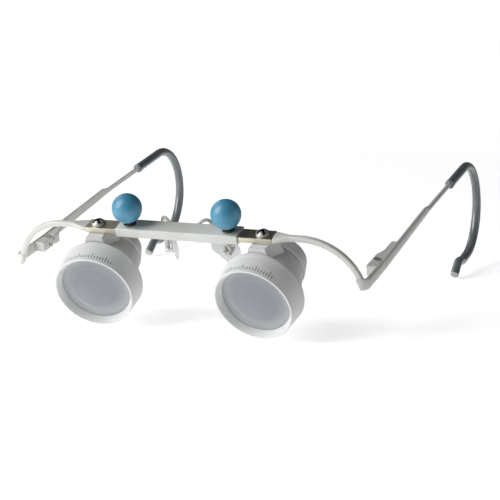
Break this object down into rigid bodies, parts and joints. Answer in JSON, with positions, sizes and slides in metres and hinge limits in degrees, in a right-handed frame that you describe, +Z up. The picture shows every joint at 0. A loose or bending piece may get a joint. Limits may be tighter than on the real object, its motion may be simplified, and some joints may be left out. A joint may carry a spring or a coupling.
{
  "type": "dental loupes",
  "caption": "Magnifying loupes for dental work: short telescopes hang from sliding plates on a spectacle frame with blue clamp knobs, folding temples and ear hooks.",
  "frame": {"origin": "on the table under the middle of the outer box, with the loupes standing on their front rims and the ends of their ear hooks", "axes": "+X to the right as seen from the front, +Y back along the temples, +Z up"},
  "size_m": [0.1418, 0.1664, 0.0498],
  "materials": {
    "frame_paint": "satin white paint",
    "barrel_white": "matte white",
    "champagne_metal": "bare, fine brushed, champagne tint",
    "knob_blue": "satin",
    "collar_dark": "matte",
    "clamp_brass": "dulled",
    "screw_steel": "polished",
    "pad_wire": "satin",
    "pad_clear": "clear silicone",
    "lens_glass": "coated",
    "lock_black": "matte black",
    "sleeve_grey": "satin grey"
  },
  "bodies": {
    "bridge": {"bridge_channel": "frame_paint", "clamp_nut_left": "clamp_brass", "pad_arm_left": "pad_wire", "pad_pin_left": "pad_wire", "clamp_nut_right": "clamp_brass", "pad_arm_right": "pad_wire", "pad_pin_right": "pad_wire"},
    "slider_left": {"slider_left": "champagne_metal", "brow_arm_left": "frame_paint", "end_piece_left": "frame_paint", "front_leaf_left": "frame_paint", "hinge_screw_left": "screw_steel"},
    "knob_left": {"clamp_ball_left": "knob_blue", "clamp_screw_left": "clamp_brass", "clamp_collar_left": "collar_dark"},
    "telescope_left": {"mount_screw_left": "screw_steel", "swivel_washer_left": "barrel_white", "mount_lug_left": "barrel_white", "front_ring_left": "barrel_white", "front_lens_left": "lens_glass", "front_lock_ring_left": "lock_black", "barrel_body_left": "barrel_white", "eyepiece_ring_left": "barrel_white", "eyepiece_lens_left": "lens_glass", "eyepiece_lock_ring_left": "lock_black"},
    "temple_left": {"temple_leaf_left": "frame_paint", "temple_bar_left": "frame_paint", "ear_sleeve_left": "sleeve_grey"},
    "pad_left": {"pad_insert_left": "pad_wire", "nose_pad_left": "pad_clear"},
    "slider_right": {"slider_right": "champagne_metal", "brow_arm_right": "frame_paint", "end_piece_right": "frame_paint", "front_leaf_right": "frame_paint", "hinge_screw_right": "screw_steel"},
    "knob_right": {"clamp_ball_right": "knob_blue", "clamp_screw_right": "clamp_brass", "clamp_collar_right": "collar_dark"},
    "telescope_right": {"mount_screw_right": "screw_steel", "swivel_washer_right": "barrel_white", "mount_lug_right": "barrel_white", "front_ring_right": "barrel_white", "front_lens_right": "lens_glass", "front_lock_ring_right": "lock_black", "barrel_body_right": "barrel_white", "eyepiece_ring_right": "barrel_white", "eyepiece_lens_right": "lens_glass", "eyepiece_lock_ring_right": "lock_black"},
    "temple_right": {"temple_leaf_right": "frame_paint", "temple_bar_right": "frame_paint", "ear_sleeve_right": "sleeve_grey"},
    "pad_right": {"pad_insert_right": "pad_wire", "nose_pad_right": "pad_clear"}
  },
  "joints": [
    {"name": "slider_slide_left", "type": "slide", "parent": "bridge", "child": "slider_left", "axis": [-1, 0, 0], "range_m": [-0.003, 0.003]},
    {"name": "knob_turn_left", "type": "hinge", "parent": "bridge", "child": "knob_left", "pos_m": [-0.0193, -0.07167, 0.04426], "axis": [0, -0.338, 0.9411], "range_deg": [0, 360]},
    {"name": "telescope_swivel_left", "type": "hinge", "parent": "slider_left", "child": "telescope_left", "pos_m": [-0.0322, -0.06888, 0.03649], "axis": [0, 0.338, -0.9411], "range_deg": [-6, 6]},
    {"name": "temple_fold_left", "type": "hinge", "parent": "slider_left", "child": "temple_left", "pos_m": [-0.0664, -0.04597, 0.02449], "axis": [0, 0.1695, -0.9855], "range_deg": [0, 88]},
    {"name": "pad_rock_left", "type": "hinge", "parent": "bridge", "child": "pad_left", "pos_m": [-0.01282, -0.0519, 0.02708], "axis": [-0.3375, 0.4778, 0.8111], "range_deg": [-5, 5]},
    {"name": "slider_slide_right", "type": "slide", "parent": "bridge", "child": "slider_right", "axis": [1, 0, 0], "range_m": [-0.003, 0.003]},
    {"name": "knob_turn_right", "type": "hinge", "parent": "bridge", "child": "knob_right", "pos_m": [0.0193, -0.07167, 0.04426], "axis": [0, -0.338, 0.9411], "range_deg": [0, 360]},
    {"name": "telescope_swivel_right", "type": "hinge", "parent": "slider_right", "child": "telescope_right", "pos_m": [0.0322, -0.06888, 0.03649], "axis": [0, -0.338, 0.9411], "range_deg": [-6, 6]},
    {"name": "temple_fold_right", "type": "hinge", "parent": "slider_right", "child": "temple_right", "pos_m": [0.0664, -0.04597, 0.02449], "axis": [0, -0.1695, 0.9855], "range_deg": [0, 48]},
    {"name": "pad_rock_right", "type": "hinge", "parent": "bridge", "child": "pad_right", "pos_m": [0.01282, -0.0519, 0.02708], "axis": [0.3375, 0.4778, 0.8111], "range_deg": [-5, 5]}
  ]
}
